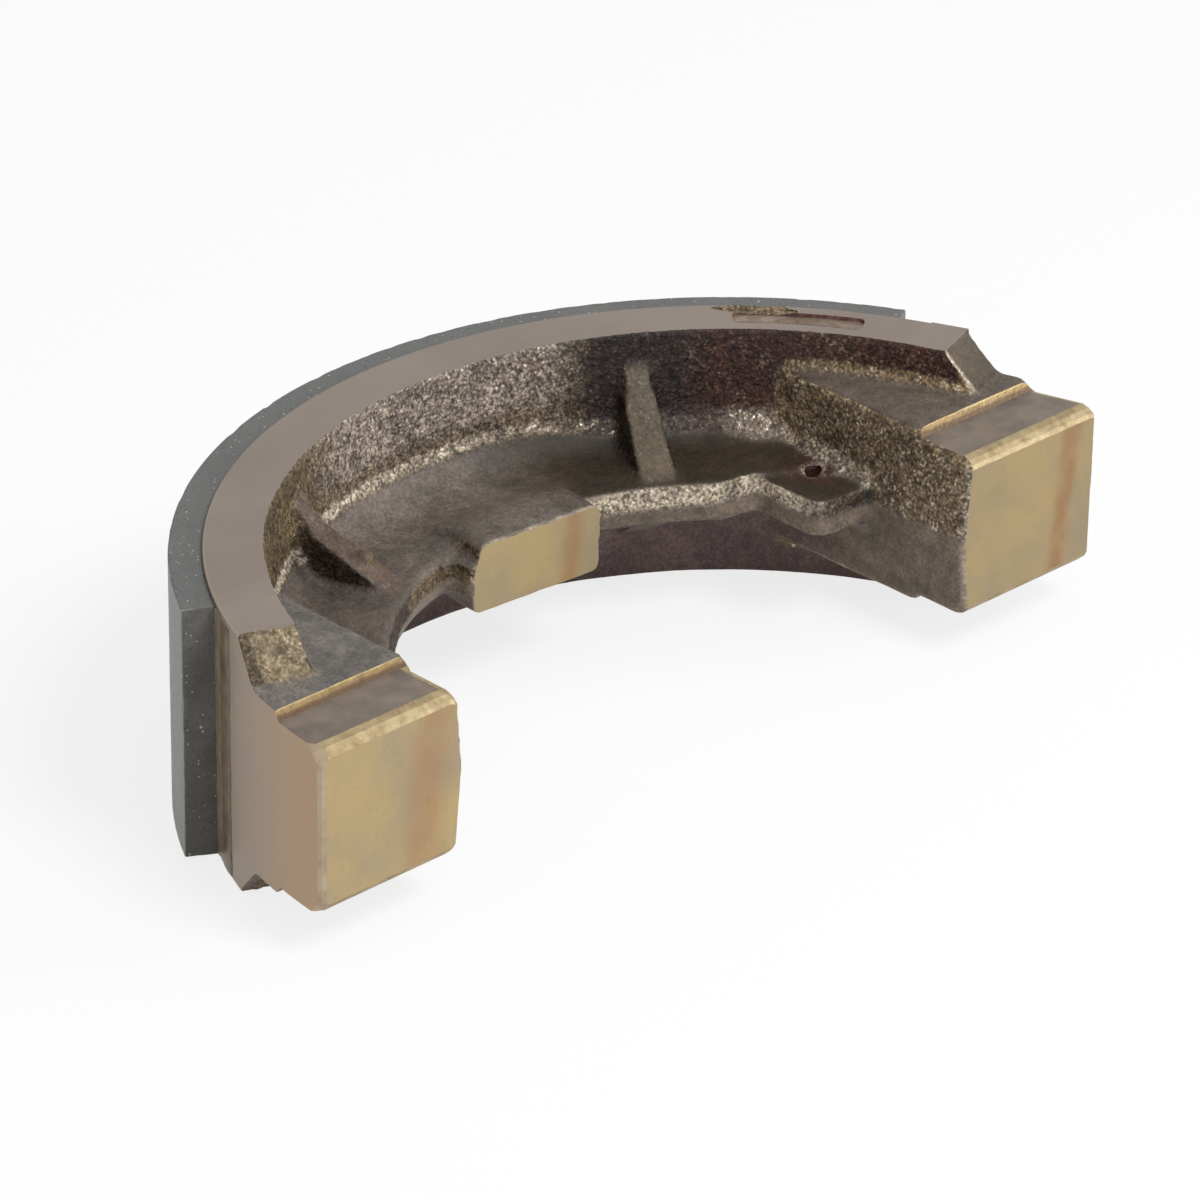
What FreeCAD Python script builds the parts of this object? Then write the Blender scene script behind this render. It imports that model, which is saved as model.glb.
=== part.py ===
import FreeCAD, Part
import math
import os
from FreeCAD import Vector

# Brake shoe: an iron casting with a bonded friction lining, for a drum brake.
# Millimetres. +Z runs along the drum's axis, with the origin on that axis, level with the
# shoe's lower face. The shoe arches over +Y, and both end faces look along -Y.
# Angles are in degrees about the drum's axis, counted from +X.

# Friction lining
drum_radius = 125.0
lining_thickness = 7.5
lining_width = 60.0
lining_rise = 0.5
lining_right_end = 28.0
lining_left_end = 151.0
lining_bevel = 0.5

# Rim that carries the lining
rim_width = 62.0
rim_thickness = 13.3
rim_left_stop = 34.5
rim_right_stop = 31.8
rim_slope_run = 8.8
rim_draft = 4.0
rim_bevel = 0.6

# Web inside the rim
web_thickness = 10.0
web_depth = 27.8
web_fillet = 10.0
web_edge_draft = 1.4
web_bevel = 1.0

# End blocks with their machined faces
block_width = 39.2
block_height = 43.6
block_draft = 5.0
block_edge = 2.0
block_root = 5.0
tail_start = 24.0
tail_length = 23.7
tail_lean = 17.5
tail_reach = 4.4
tail_edge = 2.4
face_setback = 8.0
land_length = 15.5
land_step = 2.0
step_bevel = 1.4
chamfer_run = 3.2
chamfer_drop = 2.0
face_edge = 1.4

# Rest pad in the middle of the web
pad_angle = 88.0
pad_turn = -4.7
pad_width = 34.0
pad_height = 17.6
pad_reach = 9.3
pad_flare = 4.5
pad_bevel = 1.0
pad_corner = 3.2
pad_slant = 3.0
pad_ramp = 12.0

# Stiffening ribs between rim and web
rib_angles = (59.2, 117.8)
rib_thickness = 7.4
rib_top_gap = 10.8
rib_draft = 3.0
rib_foot_gap = 2.2
rib_crest = 2.2

# Spring ear beside the right block
ear_thickness = 9.0
ear_reach = 17.5
ear_start = 37.6
ear_tip_round = 5.0
ear_sweep = 1.5
ear_step_angle = 35.0
notch_depth = 7.2
notch_run = 13.5
notch_round = 5.0
hole_diameter = 4.0
hole_from_wall = 6.6
hole_from_face = 42.0
web_stop = 37.0
web_stop_round = 7.0

# Shallow pocket in the rim's upper face
pocket_start = 31.2
pocket_end = 46.8
pocket_width = 6.0
pocket_inset = 3.6
pocket_depth = 0.8
pocket_corner = 1.6

# Places that follow from the sizes above
rim_outer = drum_radius - lining_thickness
rim_inner = rim_outer - rim_thickness
rim_left_end = 180 - math.degrees(math.asin((face_setback + rim_left_stop) / rim_outer))
rim_right_end = math.degrees(math.asin((face_setback + rim_right_stop) / rim_outer))
web_edge = rim_inner - web_depth
middle = rim_width / 2
web_top = middle + web_thickness / 2
web_bottom = middle - web_thickness / 2
block_wall = rim_outer - block_width
block_top = middle + block_height / 2
land_top = block_top - land_step
face_top = land_top - chamfer_drop
step_y = face_setback + land_length
step_back = step_y + step_bevel
ear_x = block_wall - ear_reach
notch_radius = web_edge + notch_depth
notch_y = math.sqrt(notch_radius ** 2 - ear_x ** 2)
step_end = notch_y - math.tan(math.radians(ear_step_angle)) * ear_reach
web_root_end = math.sqrt(rim_inner ** 2 - block_wall ** 2) - web_fillet
spare = 5.0
tiny = 0.001
axis = Vector(0, 0, 1)
origin = Vector(0, 0, 0)


def lean(run, degrees):
    """Sideways shift of a drafted wall over a run."""
    return run * math.tan(math.radians(degrees))


def polar(radius, degrees, height=0.0):
    angle = math.radians(degrees)
    return Vector(radius * math.cos(angle), radius * math.sin(angle), height)


def outline(corners, place):
    """Closed face through (a, b, round) corners; place(a, b) gives the point in space."""
    count = len(corners)
    bends = []
    for index, (a, b, radius) in enumerate(corners):
        corner = Vector(a, b, 0)
        before = Vector(*corners[index - 1][:2], 0) - corner
        after = Vector(*corners[(index + 1) % count][:2], 0) - corner
        if radius <= 0:
            bends.append((corner, corner, corner))
            continue
        half = before.getAngle(after) / 2
        back = radius / math.tan(half)
        toward = (before.normalize() + after.normalize()).normalize()
        depth = radius / math.sin(half) - radius
        bends.append((corner + before * back, corner + toward * depth, corner + after * back))
    edges = []
    for index, (start, bend, end) in enumerate(bends):
        points = [place(point.x, point.y) for point in (start, bend, end)]
        if start.distanceToPoint(end) > 1e-6:
            edges.append(Part.Arc(*points).toShape())
        following = bends[(index + 1) % count][0]
        if end.distanceToPoint(following) > 1e-6:
            edges.append(Part.LineSegment(points[2], place(following.x, following.y)).toShape())
    return Part.Face(Part.Wire(edges))


def plan_prism(corners, bottom, top):
    """Upright prism over a plan outline."""
    face = outline(corners, lambda x, y: Vector(x, y, bottom))
    return face.extrude(Vector(0, 0, top - bottom))


def radial_frame(degrees):
    """Unit vectors outward along a radius and sideways to it, counter-clockwise."""
    return polar(1, degrees), polar(1, degrees + 90)


def mirrored_in_height(shape):
    return shape.mirror(Vector(0, 0, middle), axis)


def rim_and_web():
    """Half ring of the rim and web section, turned about the drum's axis."""
    wall_at_web = rim_inner - lean(rim_width - web_top, rim_draft)
    edge_at_top = web_edge + web_edge_draft
    upper = [
        (rim_outer, rim_width - rim_bevel, 0),
        (rim_outer - rim_bevel, rim_width, 0),
        (rim_inner + rim_bevel, rim_width, 0),
        (rim_inner, rim_width - rim_bevel, 0),
        (wall_at_web, web_top, web_fillet),
        (edge_at_top + web_bevel, web_top, 0),
        (edge_at_top, web_top - web_bevel, 0),
    ]
    lower = [(r, rim_width - z, round) for r, z, round in reversed(upper)]
    section = upper + [(web_edge, middle, 0)] + lower
    face = outline(section, lambda r, z: Vector(r, 0, z))
    return face.revolve(origin, axis, 180)


def rim_end_cut(end_angle, turn):
    """What is missing above an end block, from the slope at the rim's end to the face."""
    out, along = radial_frame(end_angle)
    reach = rim_outer + spare
    profile = [
        (0, rim_width, 0),
        (rim_slope_run, block_top, 0),
        (reach, block_top, 0),
        (reach, rim_width + spare, 0),
        (0, rim_width + spare, 0),
    ]
    start = out * (rim_inner - 2 * spare)
    face = outline(profile, lambda t, z: start + along * (turn * t) + Vector(0, 0, z))
    return face.extrude(out * (rim_thickness + 4 * spare))


def end_block(side):
    """Solid end between the straight inner wall and the rim, drafted from the parting line."""
    ridge = block_wall - lean(block_height / 2, block_draft)
    bottom = rim_width - block_top
    section = [
        (ridge, middle, 0),
        (block_wall, block_top, 0),
        (rim_outer, block_top, 0),
        (rim_outer, bottom, 0),
        (block_wall, bottom, 0),
    ]
    face = outline(section, lambda x, z: Vector(side * x, 0, z))
    prism = face.extrude(Vector(0, rim_outer, 0))
    core = Part.makeCylinder(rim_inner + rim_thickness / 2, rim_width)
    return prism.common(core)


def block_root_cove(side, base, start, end):
    """Round filling in the corner between a block's inner wall and the web's flat."""
    def wall_at(z):
        return block_wall - lean(block_top - z, block_draft)

    section = [
        (wall_at(base), base, block_root),
        (wall_at(base + block_root), base + block_root, 0),
        (block_wall + spare, base + block_root, 0),
        (block_wall + spare, middle, 0),
        (wall_at(base) - block_root, middle, 0),
        (wall_at(base) - block_root, base, 0),
    ]
    face = outline(section, lambda x, z: Vector(side * x, start, z))
    return face.extrude(Vector(0, end - start, 0))


def block_tail():
    """Flat outer side of the right block, which runs out past the turned arc to the face."""
    start = polar(rim_outer, tail_start)
    tip = Vector(rim_outer + tail_reach, face_setback, 0)
    bend = tip + Vector(-lean(tail_length, tail_lean), tail_length, 0)
    core = block_wall + block_width / 2
    corners = [
        (start.x, start.y, 0),
        (bend.x, bend.y, 0),
        (tip.x, tip.y, 0),
        (core, face_setback, 0),
        (core, start.y, 0),
    ]
    return plan_prism(corners, rim_width - block_top, block_top)


def face_land_cut():
    """Machined land, its bevelled step and the chamfer above both end faces."""
    profile = [
        (0, face_top, 0),
        (face_setback, face_top, 0),
        (face_setback + chamfer_run, land_top, 0),
        (step_y, land_top, 0),
        (step_back, block_top, 0),
        (step_back, rim_width + spare, 0),
        (0, rim_width + spare, 0),
    ]
    face = outline(profile, lambda y, z: Vector(-drum_radius, y, z))
    return face.extrude(Vector(2 * drum_radius, 0, 0))


def rest_pad():
    """Pad on the web's edge with a flat machined face, flared sides and a ramp to the web."""
    centre = polar(web_edge - pad_reach, pad_angle)
    along = polar(1, pad_turn)
    back = polar(1, pad_turn + 90)
    half = pad_width / 2
    root = pad_reach + pad_ramp
    low = middle - pad_height / 2
    high = middle + pad_height / 2
    wide = half + pad_slant + pad_flare
    side = [
        (0, low + pad_bevel, 0),
        (pad_bevel, low, 0),
        (pad_reach, low, 0),
        (root, web_bottom, 0),
        (root, web_top, 0),
        (pad_reach, high, 0),
        (pad_bevel, high, 0),
        (0, high - pad_bevel, 0),
    ]
    front = [
        (-half - pad_slant, low, pad_corner),
        (half, low, pad_corner),
        (half, high, pad_corner),
        (-half, high, pad_corner),
    ]
    seen_from_side = outline(side, lambda b, z: centre - along * wide + back * b + Vector(0, 0, z))
    seen_from_front = outline(front, lambda a, z: centre + along * a + Vector(0, 0, z))
    pad = seen_from_side.extrude(along * (2 * wide))
    pad = pad.common(seen_from_front.extrude(back * root))
    corner = Vector(-drum_radius, 0, 0)
    below = Part.makeBox(2 * drum_radius, drum_radius, web_bottom + web_bevel, corner)
    flares = []
    for sign, reach in ((-1, half + pad_slant), (1, half)):
        corners = [
            (sign * (reach - pad_corner), pad_bevel, 0),
            (sign * reach, pad_bevel, 0),
            (sign * (reach + pad_flare), root, 0),
            (sign * (reach - pad_corner), root, 0),
        ]
        flare = outline(corners, lambda a, b: centre + along * a + back * b)
        flare = flare.extrude(Vector(0, 0, web_top - web_bevel))
        flares.append(flare.cut(below))
    return [pad] + flares


def rib(degrees):
    """Radial rib above and below the web, sloping from the rim to the web's edge."""
    out, along = radial_frame(degrees)
    inner = web_edge + web_edge_draft + rib_foot_gap
    outer = rim_inner + rim_thickness / 2
    crest = rim_width - rib_top_gap
    half = rib_thickness / 2
    waist = half + lean(crest - middle, rib_draft)
    section = [
        (-waist, middle, 0),
        (-half, rim_width - crest, rib_crest),
        (half, rim_width - crest, rib_crest),
        (waist, middle, 0),
        (half, crest, rib_crest),
        (-half, crest, rib_crest),
    ]
    start = out * inner
    face = outline(section, lambda t, z: start + along * t + Vector(0, 0, z))
    bar = face.extrude(out * (outer - inner))
    slope = [
        (inner, web_bottom, 0),
        (rim_inner, rim_width - crest, 0),
        (outer, rim_width - crest, 0),
        (outer, crest, 0),
        (rim_inner, crest, 0),
        (inner, web_top, 0),
    ]
    face = outline(slope, lambda r, z: out * r - along * (2 * waist) + Vector(0, 0, z))
    return bar.common(face.extrude(along * (4 * waist)))


def web_trim_right():
    """Notch in the web's edge and the straight step where the spring ear begins."""
    notch_x = ear_x - notch_run
    corners = [
        (notch_x, math.sqrt(web_edge ** 2 - notch_x ** 2), 0),
        (ear_x, notch_y, notch_round),
        (block_wall, step_end, 0),
        (block_wall, 0, 0),
        (0, 0, 0),
    ]
    return plan_prism(corners, 0, rim_width)


def web_trim_left():
    """The web stops short of the left end face, with a round run into the block's wall."""
    corners = [
        (-block_wall, web_stop, web_stop_round),
        (-block_wall, 0, 0),
        (0, 0, 0),
        (0, web_stop, 0),
    ]
    return plan_prism(corners, 0, rim_width)


def spring_ear():
    """Thinner ear of the web beside the block."""
    corners = [
        (ear_x, notch_y, 0),
        (ear_x, ear_start, ear_tip_round),
        (block_wall, ear_start - ear_sweep, 0),
        (block_wall + spare, ear_start, 0),
        (block_wall + spare, notch_y, 0),
    ]
    return plan_prism(corners, web_bottom, web_bottom + ear_thickness)


def spring_hole():
    place = Vector(block_wall - hole_from_wall, hole_from_face + face_setback, 0)
    return Part.makeCylinder(hole_diameter / 2, rim_width, place)


def rim_pocket():
    """Shallow curved pocket with rounded corners, sunk into the rim's upper face."""
    outer = rim_outer - pocket_inset
    floor = rim_width - pocket_depth
    section = [
        (outer - pocket_width, floor, 0),
        (outer, floor, 0),
        (outer, rim_width + spare, 0),
        (outer - pocket_width, rim_width + spare, 0),
    ]
    face = outline(section, lambda r, z: polar(r, pocket_start, z))
    block = face.revolve(origin, axis, pocket_end - pocket_start)
    upright = [edge for edge in block.Edges if abs(edge.tangentAt(edge.FirstParameter).z) > 0.9]
    return block.makeFillet(pocket_corner, upright)


def edges_on(body, on_side):
    """Edges of the end blocks, no higher than their top planes, that lie on one surface."""
    found = []
    for edge in body.Edges:
        points = [vertex.Point for vertex in edge.Vertexes]
        low = all(abs(point.z - middle) < block_height / 2 + tiny for point in points)
        if len(points) == 2 and low and all(on_side(point) for point in points):
            found.append(edge)
    return found


def on_tail(point):
    """On the flat outer side of the right block, in front of the step."""
    side = rim_outer + tail_reach - lean(point.y - face_setback, tail_lean)
    return point.y < step_back + tiny and abs(point.x - side) < tiny


def on_inner_wall(point):
    """On the drafted inner wall of a block, at its face or along its top and bottom."""
    rise = abs(point.z - middle)
    front = point.y < step_back + tiny and rise > face_top - middle - tiny
    clear = front or point.y < face_setback + tiny or rise > block_height / 2 - tiny
    wall = block_wall - lean(block_height / 2 - rise, block_draft)
    return clear and abs(abs(point.x) - wall) < tiny


def on_turned_corner(point):
    """On the front end of the turned arc, beside the left end face."""
    reach = math.hypot(point.x, point.y)
    return point.x < 0 and point.y < face_setback + tiny and abs(reach - rim_outer) < tiny


def casting():
    """The whole iron casting as one solid."""
    body = rim_and_web()
    body = body.cut([web_trim_right(), web_trim_left()])
    ribs = [rib(angle) for angle in rib_angles]
    blocks = [end_block(1), end_block(-1), block_tail()]
    coves = [
        block_root_cove(-1, web_top, web_stop, web_root_end),
        block_root_cove(1, web_top, step_end, web_root_end),
        block_root_cove(1, web_bottom + ear_thickness, ear_start, step_end),
    ]
    coves += [mirrored_in_height(coves[0])]
    coves += [mirrored_in_height(block_root_cove(1, web_top, ear_start, web_root_end))]
    body = body.fuse(blocks + coves + rest_pad() + [spring_ear()] + ribs)
    uppers = [rim_end_cut(rim_left_end, 1), rim_end_cut(rim_right_end, -1), face_land_cut()]
    lowers = [mirrored_in_height(cut) for cut in uppers]
    corner = Vector(-drum_radius, face_setback - drum_radius, -spare)
    front = Part.makeBox(2 * drum_radius, drum_radius, rim_width + 2 * spare, corner)
    body = body.cut(uppers + lowers + [front, spring_hole(), rim_pocket()]).removeSplitter()
    body = body.makeFillet(tail_edge, edges_on(body, on_tail))
    body = body.makeFillet(block_edge, edges_on(body, on_inner_wall))
    return body.makeFillet(face_edge, edges_on(body, on_turned_corner))


def friction_lining():
    """Curved lining that lies on the rim's outer face."""
    bottom = lining_rise
    top = lining_rise + lining_width
    section = [
        (rim_outer, bottom, 0),
        (drum_radius - lining_bevel, bottom, 0),
        (drum_radius, bottom + lining_bevel, 0),
        (drum_radius, top - lining_bevel, 0),
        (drum_radius - lining_bevel, top, 0),
        (rim_outer, top, 0),
    ]
    face = outline(section, lambda r, z: polar(r, lining_right_end, z))
    return face.revolve(origin, axis, lining_left_end - lining_right_end)


def export(shape, name):
    solid = shape.Solids[0] if len(shape.Solids) == 1 else shape
    solid.exportStep(os.path.join("parts", name + ".step"))
    print(name, "solids", len(shape.Solids), "volume", round(shape.Volume), "valid", shape.isValid())


os.makedirs("parts", exist_ok=True)
export(casting(), "shoe_casting")
export(friction_lining(), "friction_lining")
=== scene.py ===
import math

import bmesh
import bpy
import numpy as np
from mathutils import Matrix, Vector, noise
from mathutils.kdtree import KDTree


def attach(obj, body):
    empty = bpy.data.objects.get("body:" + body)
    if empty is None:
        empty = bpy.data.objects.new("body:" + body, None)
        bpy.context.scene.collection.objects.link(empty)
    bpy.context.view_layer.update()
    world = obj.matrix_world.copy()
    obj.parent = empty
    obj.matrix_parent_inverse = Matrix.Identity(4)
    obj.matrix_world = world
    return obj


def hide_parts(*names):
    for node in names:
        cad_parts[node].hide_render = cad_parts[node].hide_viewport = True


# Brake shoe: the rough iron casting is formed first, then its machined faces are cut.
# The frame is in metres, the sizes below are in millimetres and degrees about the drum's
# axis, counted from +X.
MM = 0.001

# Lining and rim
DRUM_R = 125.0
RIM_R = 117.5
RIM_INNER_R = 104.2
RIM_WIDTH = 62.0
MIDDLE = RIM_WIDTH / 2
RIM_BREAK = 0.5
LINING_LOW, LINING_HIGH = 0.5, 60.5
LINING_RIGHT, LINING_LEFT = 28.0, 151.0
TAIL_START = 24.0
TAIL_X = 121.0
TAIL_BEND, TAIL_TIP = (114.4, 31.7), (121.9, 8.0)

# Adhesive beside the lining; its section is given as shares of the width and heights
ADHESIVE_WIDTH = 11.0
ADHESIVE_SECTION = ((-0.05, 0), (-0.05, 0.45), (0.06, 0.36), (0.16, 0.16), (0.38, 0.12),
                    (0.46, 0.32), (0.75, 0.30), (0.93, 0.24), (1.0, 0))
BEAD_START, BEAD_FULL = 0.28, 0.38

# End blocks: flat front, eased edge, land, and a step up to the cast surface
FACE_Y = 8.0
FACE_TOP = 48.8
LAND_TOP = 50.8
CHAMFER = ((FACE_Y, 48.3), (8.45, 49.3), (9.5, 50.25), (11.2, LAND_TOP))
STEP_Y = 23.5
STEP_BACK_Y, BLOCK_TOP = 24.9, 52.8
BLOCK_WALL = 78.3
CORNER_ROUND = 2.8

# Broken outer edge of the left block, and the two broken corners at its ends
EDGE = ((-115.9, FACE_Y), (-116.85, 8.4), (-117.12, 9.6))
CORNER_BACK_X, CORNER_SIDE_X, CORNER_FRONT_X = -116.6, -117.25, -115.0
UPPER_CORNER_BACK, LOWER_CORNER_BACK = 12.5, 11.5
CORNER_DROP = 3.0

# Web, rest pad, hole for the spring, ribs
WEB_EDGE_R = 76.4
PAD_ANGLE, PAD_TURN, PAD_REACH = 88.0, -4.7, 9.3
HOLE_X, HOLE_Y, HOLE_R = 71.7, 50.0, 2.0
RIB_ANGLES = (59.2, 117.8)
RIB_CREST = 51.2
RIB_HALF = 3.0
LUMP_R, LUMP_ANGLE, LUMP_Z = 88.2, 117.6, 42.0
LUMP_HALVES = (2.3, 2.1, 2.0)

# Shallow pocket in the rim's upper face, and the rough spot beside it
POCKET_START, POCKET_END = 31.2, 46.8
POCKET_IN_R, POCKET_OUT_R = 107.9, 113.9
POCKET_DEPTH = 0.8
POCKET_ROUND = 1.6
PATCH_R, PATCH_ANGLE = 114.7, 43.8
PATCH_HALVES = (9.0, 2.7, 0.75)

# Blank: its mesh, the fill of its inner corners, and the stock over the machined faces
VOXEL = 0.69
SMOOTHING = 2
CORNER_FILL = 1.3
STOCK = 2.4
STOCK_ROOT = 0.4
STOCK_LEAST = 0.5

# Cast skin: length and height of waves, grains and blots, pits, drop below the parting line
LONG_WAVE, LONG_HEIGHT = 12, 0.16
SHORT_WAVE, SHORT_HEIGHT = 4.5, 0.10
GRAIN, FINE_GRAIN, GRAIN_HEIGHT = 1.6, 0.95, 0.22
BLOT, SLOPE_HEIGHT = 1.9, 1.0
PIT_LEVEL, PIT_DEPTH = 0.62, 4.0
LOWER_DROP = 0.30

# Camera, matched to the photograph: angles in degrees, lengths in pixels and metres
PHOTO_WIDTH = 1200
AZIMUTH, ELEVATION, ROLL = -44.6808, 27.7629, 0.841
FOCAL_PIXELS = 6866.89
ORIGIN_DEPTH = 1.50183
ORIGIN_PIXEL_X, ORIGIN_PIXEL_Y = 744.4686, 790.7321
SENSOR_WIDTH = 36

# White floor and sky, lamps
FLOOR_SIZE = 8
FLOOR_WHITE, FLOOR_GLOW = 0.86, 0.8
SKY_LIGHT, SKY_SEEN = 0.45, 1.0
LAMPS_AIM = Vector((0, 0.05, 0.03))


def polar(radius, degrees, z=0.0):
    angle = math.radians(degrees)
    return Vector((radius * math.cos(angle), radius * math.sin(angle), z))


def new_object(name, mesh):
    obj = bpy.data.objects.new(name, mesh)
    bpy.context.scene.collection.objects.link(obj)
    return obj


def mesh_of(name, bm):
    """Mesh in metres from a bmesh in millimetres."""
    bmesh.ops.scale(bm, vec=(MM, MM, MM), verts=bm.verts)
    mesh = bpy.data.meshes.new(name)
    bm.to_mesh(mesh)
    bm.free()
    return mesh


def join_rings(bm, one, two):
    """Faces from one closed ring of points to another, in the order of the points."""
    count = len(one)
    return [bm.faces.new((one[i], one[(i + 1) % count], two[(i + 1) % count], two[i]))
            for i in range(count)]


def applied(obj):
    """The object with its modifiers applied."""
    graph = bpy.context.evaluated_depsgraph_get()
    mesh = bpy.data.meshes.new_from_object(obj.evaluated_get(graph))
    obj.modifiers.clear()
    obj.data = mesh
    return obj


# Blank: the CAD casting with stock over its machined faces

PAD_CENTRE = polar(WEB_EDGE_R - PAD_REACH, PAD_ANGLE)
PAD_BACK = polar(1, PAD_TURN + 90)
PAD_ALONG = polar(1, PAD_TURN)


def outwards(point):
    """Thickness of the stock, straight away from the drum's axis."""
    return Vector((point.x, point.y, 0)).normalized() * STOCK


def stock_move(face):
    """How far the stock on a CAD face stands proud of it, or None on a cast face."""
    points = [v.co for v in face.verts]
    normal = face.normal
    middle = face.calc_center_median()
    back = max(p.y for p in points)
    reach = [math.hypot(p.x, p.y) for p in points]
    outward = normal.dot(Vector((middle.x, middle.y, 0)).normalized())
    side = 1 if middle.z > MIDDLE else -1
    rise = [MIDDLE + side * (p.z - MIDDLE) for p in points]
    upwards, frontwards = Vector((0, 0, side * STOCK)), Vector((0, -STOCK, 0))
    if min(rise) > RIM_WIDTH - 0.01:
        return lambda p: upwards
    if back < FACE_Y + 0.01 and normal.y < -0.99:
        return lambda p: frontwards
    turned = min(reach) > RIM_R - 0.02 and max(reach) < RIM_R + 0.02
    if turned and outward > 0.99 and middle.x < polar(RIM_R, TAIL_START).x:
        return outwards
    if middle.x < 0 and back < FACE_Y + 1.5 and min(reach) > RIM_R - 1.5:
        return lambda p: outwards(p) + frontwards
    if min(reach) > RIM_R - 0.7 and min(rise) > RIM_WIDTH - 0.7 and outward > 0.5:
        return lambda p: outwards(p) + upwards
    flat = abs(normal.x) < 0.02 and side * normal.z > 0.5
    if flat and back < STEP_BACK_Y + 0.02 and min(rise) > FACE_TOP - 0.02:
        return lambda p: Vector((0, 0, side * (BLOCK_TOP + 0.02 - MIDDLE) - (p.z - MIDDLE)))
    if normal.dot(PAD_BACK) < -0.99 and abs((middle - PAD_CENTRE).dot(PAD_BACK)) < 0.05:
        return lambda p: PAD_BACK * -STOCK
    return None


def add_stock(bm):
    """Closed slabs of stock over the machined faces."""
    groups = []
    for face in bm.faces:
        move = stock_move(face)
        if move is not None:
            groups.append(([v.co.copy() for v in face.verts], move, face.normal.copy()))
    for points, move, normal in groups:
        low = [bm.verts.new(p - normal * STOCK_ROOT) for p in points]
        high = [bm.verts.new(p + move(p)) for p in points]
        if all((a.co - b.co).length < STOCK_LEAST for a, b in zip(low, high)):
            bmesh.ops.delete(bm, geom=low + high, context="VERTS")
            continue
        bm.faces.new(high)
        bm.faces.new(list(reversed(low)))
        join_rings(bm, low, high)


def add_lumps(bm):
    """Small lump of iron on the left rib's crest, and the sweep of each crest into the rim."""
    place = Matrix.Translation(polar(LUMP_R, LUMP_ANGLE, LUMP_Z))
    bmesh.ops.create_icosphere(bm, subdivisions=2, radius=1,
                               matrix=place @ Matrix.Diagonal((*LUMP_HALVES, 1)))
    in_rim, on_rim, on_rib = RIM_INNER_R + 1, RIM_INNER_R - 1, RIM_INNER_R - 6
    sweep = [(in_rim, RIB_CREST - 3), (in_rim, RIB_CREST + 4.2), (on_rim, RIB_CREST + 3.4),
             (on_rib, RIB_CREST - 3.2), (on_rib, RIB_CREST - 5)]
    for degrees in RIB_ANGLES:
        side = polar(RIB_HALF, degrees + 90)
        one, two = [[bm.verts.new(polar(r, degrees, z) + side * way) for r, z in sweep]
                    for way in (-1, 1)]
        bm.faces.new(one)
        bm.faces.new(list(reversed(two)))
        join_rings(bm, two, one)


def smooth(obj, rounds):
    even = obj.modifiers.new("smooth", "SMOOTH")
    even.factor = 0.5
    even.iterations = rounds


def voxels(obj):
    """Even mesh of small squares, smoothed once."""
    remesh = obj.modifiers.new("voxels", "REMESH")
    remesh.mode = "VOXEL"
    remesh.voxel_size = VOXEL * MM
    smooth(obj, 1)


def swell(obj, reach):
    """Moves the whole surface out, or back in; out and back fills the inner corners."""
    push = obj.modifiers.new("swell", "DISPLACE")
    push.strength = reach * MM
    push.mid_level = 0


def rough_blank(node):
    """The casting before machining, as an even mesh of small squares."""
    bm = bmesh.new()
    bm.from_mesh(node.data)
    bmesh.ops.scale(bm, vec=(1 / MM, 1 / MM, 1 / MM), verts=bm.verts)
    bmesh.ops.remove_doubles(bm, verts=bm.verts, dist=0.0001)
    bm.normal_update()
    add_stock(bm)
    add_lumps(bm)
    blank = new_object("blank", mesh_of("blank", bm))
    voxels(blank)
    swell(blank, CORNER_FILL)
    voxels(blank)
    swell(blank, -CORNER_FILL)
    smooth(blank, SMOOTHING)
    return applied(blank)


# Cast skin

def arrays(mesh):
    """Places in millimetres and normals of a mesh's points."""
    count = len(mesh.vertices)
    points = np.empty(count * 3)
    normals = np.empty(count * 3)
    mesh.vertices.foreach_get("co", points)
    mesh.vertices.foreach_get("normal", normals)
    return points.reshape(-1, 3) / MM, normals.reshape(-1, 3)


def ramp(value, start, end):
    """0 before the start, 1 past the end and straight between them."""
    return np.clip((value - start) / (end - start), 0, 1)


TONES = {
    "olive": (0.085, 0.058, 0.026),
    # silver_sheen: painted sheen, a lighter wall that glints where the lamps are reflected
    "silver_sheen": (0.190, 0.152, 0.122),
    "purple": (0.022, 0.013, 0.011),
    "red": (0.044, 0.018, 0.013),
    # deep_shade: painted shade for the recess beside the left rib
    "deep_shade": (0.024, 0.013, 0.008),
    "moss": (0.160, 0.116, 0.068),
    "web": (0.112, 0.092, 0.076),
    "shade": (0.030, 0.021, 0.013),
    "left_top": (0.122, 0.109, 0.096),
    "right_top": (0.105, 0.083, 0.064),
    "lower": (0.158, 0.124, 0.092),
    "under": (0.170, 0.115, 0.108),
    "left_crest": (0.082, 0.053, 0.037),
    "right_crest": (0.100, 0.078, 0.050),
    "left_slope": (0.200, 0.152, 0.090),
    "right_slope": (0.062, 0.046, 0.028),
    # pale: painted highlight, used for edge lines, glint bands and the foot line
    "pale": (0.400, 0.335, 0.250),
    "gold": (0.260, 0.190, 0.105),
}


def pad_place(points):
    """Places along the rest pad's face and behind it."""
    off = points[:, :2] - np.array(PAD_CENTRE[:2])
    return off @ np.array(PAD_ALONG[:2]), off @ np.array(PAD_BACK[:2])


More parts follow.
